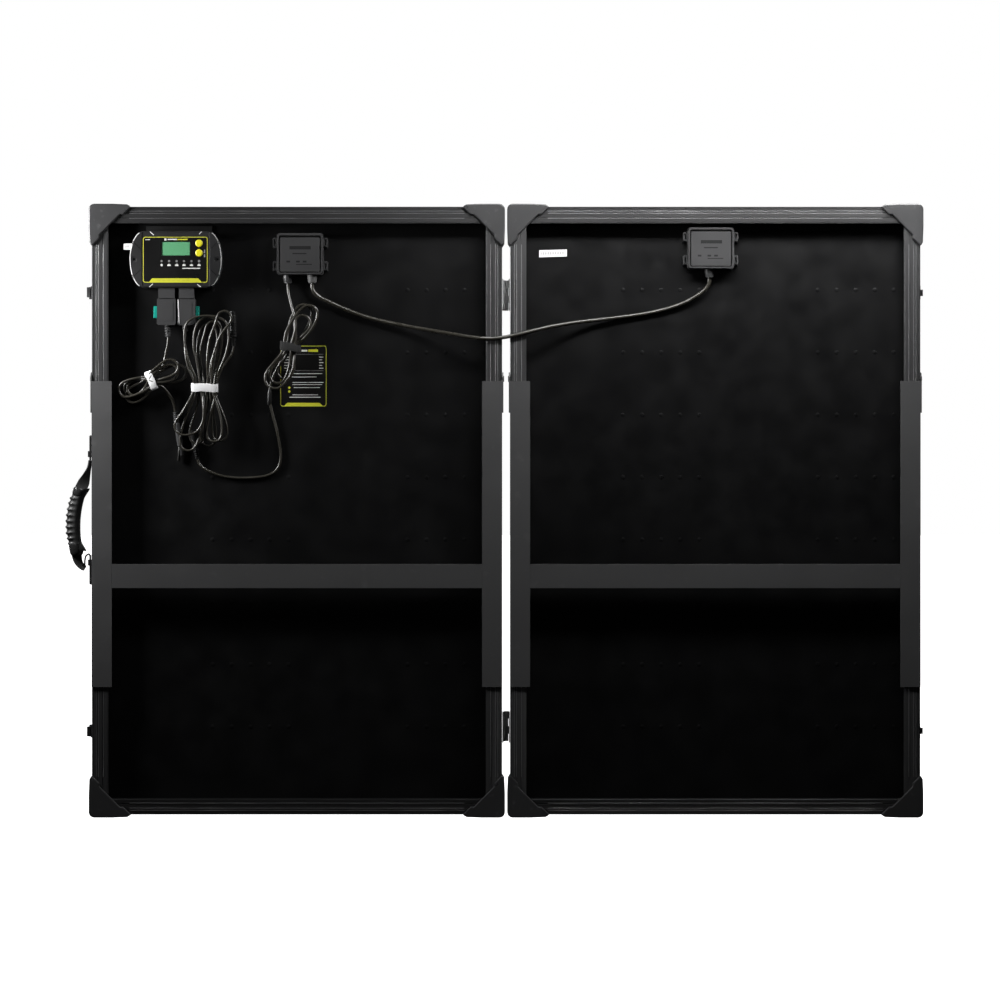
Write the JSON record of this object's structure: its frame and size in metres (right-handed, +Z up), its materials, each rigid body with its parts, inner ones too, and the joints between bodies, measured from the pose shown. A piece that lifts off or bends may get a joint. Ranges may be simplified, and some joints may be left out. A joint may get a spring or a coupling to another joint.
{
  "type": "folding solar panel",
  "caption": "Briefcase-style folding solar kit: hinged framed panels with corner protectors, swing-out kickstands, charge controller, junction boxes, tied leads and a side handle.",
  "frame": {"origin": "centre of the base of the unfolded kit, on the floor between the lower corner protectors, measured without the loose leads", "axes": "+Z up as the kit stands on its long edge, +X from the handle side to the catch side, +Y out of the glass; the panels' backs face -Y"},
  "size_m": [1.415, 0.0517, 1.0094],
  "materials": {
    "black_anodised": "black anodised extrusion, satin with lengthwise highlights",
    "kickstand_paint": "dark grey satin coat",
    "corner_plastic": "moulded dark grey plastic, fine texture",
    "laminate": "tempered glass over black cells, near-black back sheet",
    "case_plastic": "moulded black plastic",
    "board_green": "circuit board with a green display",
    "button_yellow": "yellow membrane buttons",
    "tab_teal": "teal moulded plastic",
    "hardware_steel": "dark plated steel",
    "hinge_black": "black painted steel",
    "handle_rubber": "black moulded rubber over webbing",
    "cord_black": "black cable jacket with a soft sheen"
  },
  "bodies": {
    "left_panel": {"box_hank": "cord_black", "box_lead": "cord_black", "box_lead_socket": "case_plastic", "controller_base": "case_plastic", "controller_board": "board_green", "controller_cover": "case_plastic", "controller_plug_input": "case_plastic", "controller_plug_output": "case_plastic", "handle_bracket_lower": "hardware_steel", "handle_bracket_upper": "hardware_steel", "hinge_leaf_left_lower": "hinge_black", "hinge_leaf_left_upper": "hinge_black", "input_hank": "cord_black", "input_lead": "cord_black", "input_plug": "case_plastic", "junction_box_left_base": "case_plastic", "junction_box_left_lid": "case_plastic", "latch_base_lower": "hardware_steel", "latch_base_upper": "hardware_steel", "left_corner_inner_bottom": "corner_plastic", "left_corner_inner_top": "corner_plastic", "left_corner_outer_bottom": "corner_plastic", "left_corner_outer_top": "corner_plastic", "left_laminate": "laminate", "left_rail_bottom": "black_anodised", "left_rail_inner": "black_anodised", "left_rail_outer": "black_anodised", "left_rail_top": "black_anodised", "link_cable_left": "cord_black", "output_connector": "case_plastic", "output_hank": "cord_black"},
    "right_panel": {"catch_lower": "hardware_steel", "catch_upper": "hardware_steel", "hinge_leaf_right_lower": "hinge_black", "hinge_leaf_right_upper": "hinge_black", "junction_box_right_base": "case_plastic", "junction_box_right_lid": "case_plastic", "link_cable_right": "cord_black", "right_corner_inner_bottom": "corner_plastic", "right_corner_inner_top": "corner_plastic", "right_corner_outer_bottom": "corner_plastic", "right_corner_outer_top": "corner_plastic", "right_laminate": "laminate", "right_rail_bottom": "black_anodised", "right_rail_inner": "black_anodised", "right_rail_outer": "black_anodised", "right_rail_top": "black_anodised"},
    "handle": {"handle": "handle_rubber"},
    "latch_upper": {"latch_lever_upper": "hardware_steel"},
    "latch_lower": {"latch_lever_lower": "hardware_steel"},
    "button_upper": {"controller_button_upper": "button_yellow"},
    "button_lower": {"controller_button_lower": "button_yellow"},
    "tab_input": {"release_tab_input": "tab_teal"},
    "tab_output": {"release_tab_output": "tab_teal"},
    "kickstand_left": {"kickstand_left_crossbar": "kickstand_paint", "kickstand_left_leg_inner": "kickstand_paint", "kickstand_left_leg_outer": "kickstand_paint"},
    "kickstand_right": {"kickstand_right_crossbar": "kickstand_paint", "kickstand_right_leg_inner": "kickstand_paint", "kickstand_right_leg_outer": "kickstand_paint"}
  },
  "joints": [
    {"name": "fold", "type": "hinge", "parent": "left_panel", "child": "right_panel", "pos_m": [0.01945, 0.02045, 0.5], "axis": [0, 0, 1], "range_deg": [0, 180]},
    {"name": "kickstand_left_swing", "type": "hinge", "parent": "left_panel", "child": "kickstand_left", "pos_m": [-0.32455, -0.01175, 0.722], "axis": [-1, 0, 0], "range_deg": [0, 55]},
    {"name": "kickstand_right_swing", "type": "hinge", "parent": "right_panel", "child": "kickstand_right", "pos_m": [0.36345, -0.01175, 0.722], "axis": [-1, 0, 0], "range_deg": [0, 55]},
    {"name": "handle_swing", "type": "hinge", "parent": "left_panel", "child": "handle", "pos_m": [-0.66695, -0.00225, 0.5], "axis": [0, 0, 1], "range_deg": [-50, 50]},
    {"name": "latch_upper_swing", "type": "hinge", "parent": "left_panel", "child": "latch_upper", "pos_m": [-0.66735, 0.00775, 0.8645], "axis": [0, 0, -1], "range_deg": [0, 120]},
    {"name": "latch_lower_swing", "type": "hinge", "parent": "left_panel", "child": "latch_lower", "pos_m": [-0.66735, 0.00775, 0.141], "axis": [0, 0, -1], "range_deg": [0, 120]},
    {"name": "button_upper_press", "type": "slide", "parent": "left_panel", "child": "button_upper", "axis": [0, 1, 0], "range_m": [0, 0.001], "stiffness_N_per_m": 300, "springref_m": -0.001},
    {"name": "button_lower_press", "type": "slide", "parent": "left_panel", "child": "button_lower", "axis": [0, 1, 0], "range_m": [0, 0.001], "stiffness_N_per_m": 300, "springref_m": -0.001},
    {"name": "release_tab_input_press", "type": "slide", "parent": "left_panel", "child": "tab_input", "axis": [1, 0, 0], "range_m": [0, 0.0018], "stiffness_N_per_m": 300, "springref_m": -0.001},
    {"name": "release_tab_output_press", "type": "slide", "parent": "left_panel", "child": "tab_output", "axis": [-1, 0, 0], "range_m": [0, 0.0018], "stiffness_N_per_m": 300, "springref_m": -0.001}
  ]
}
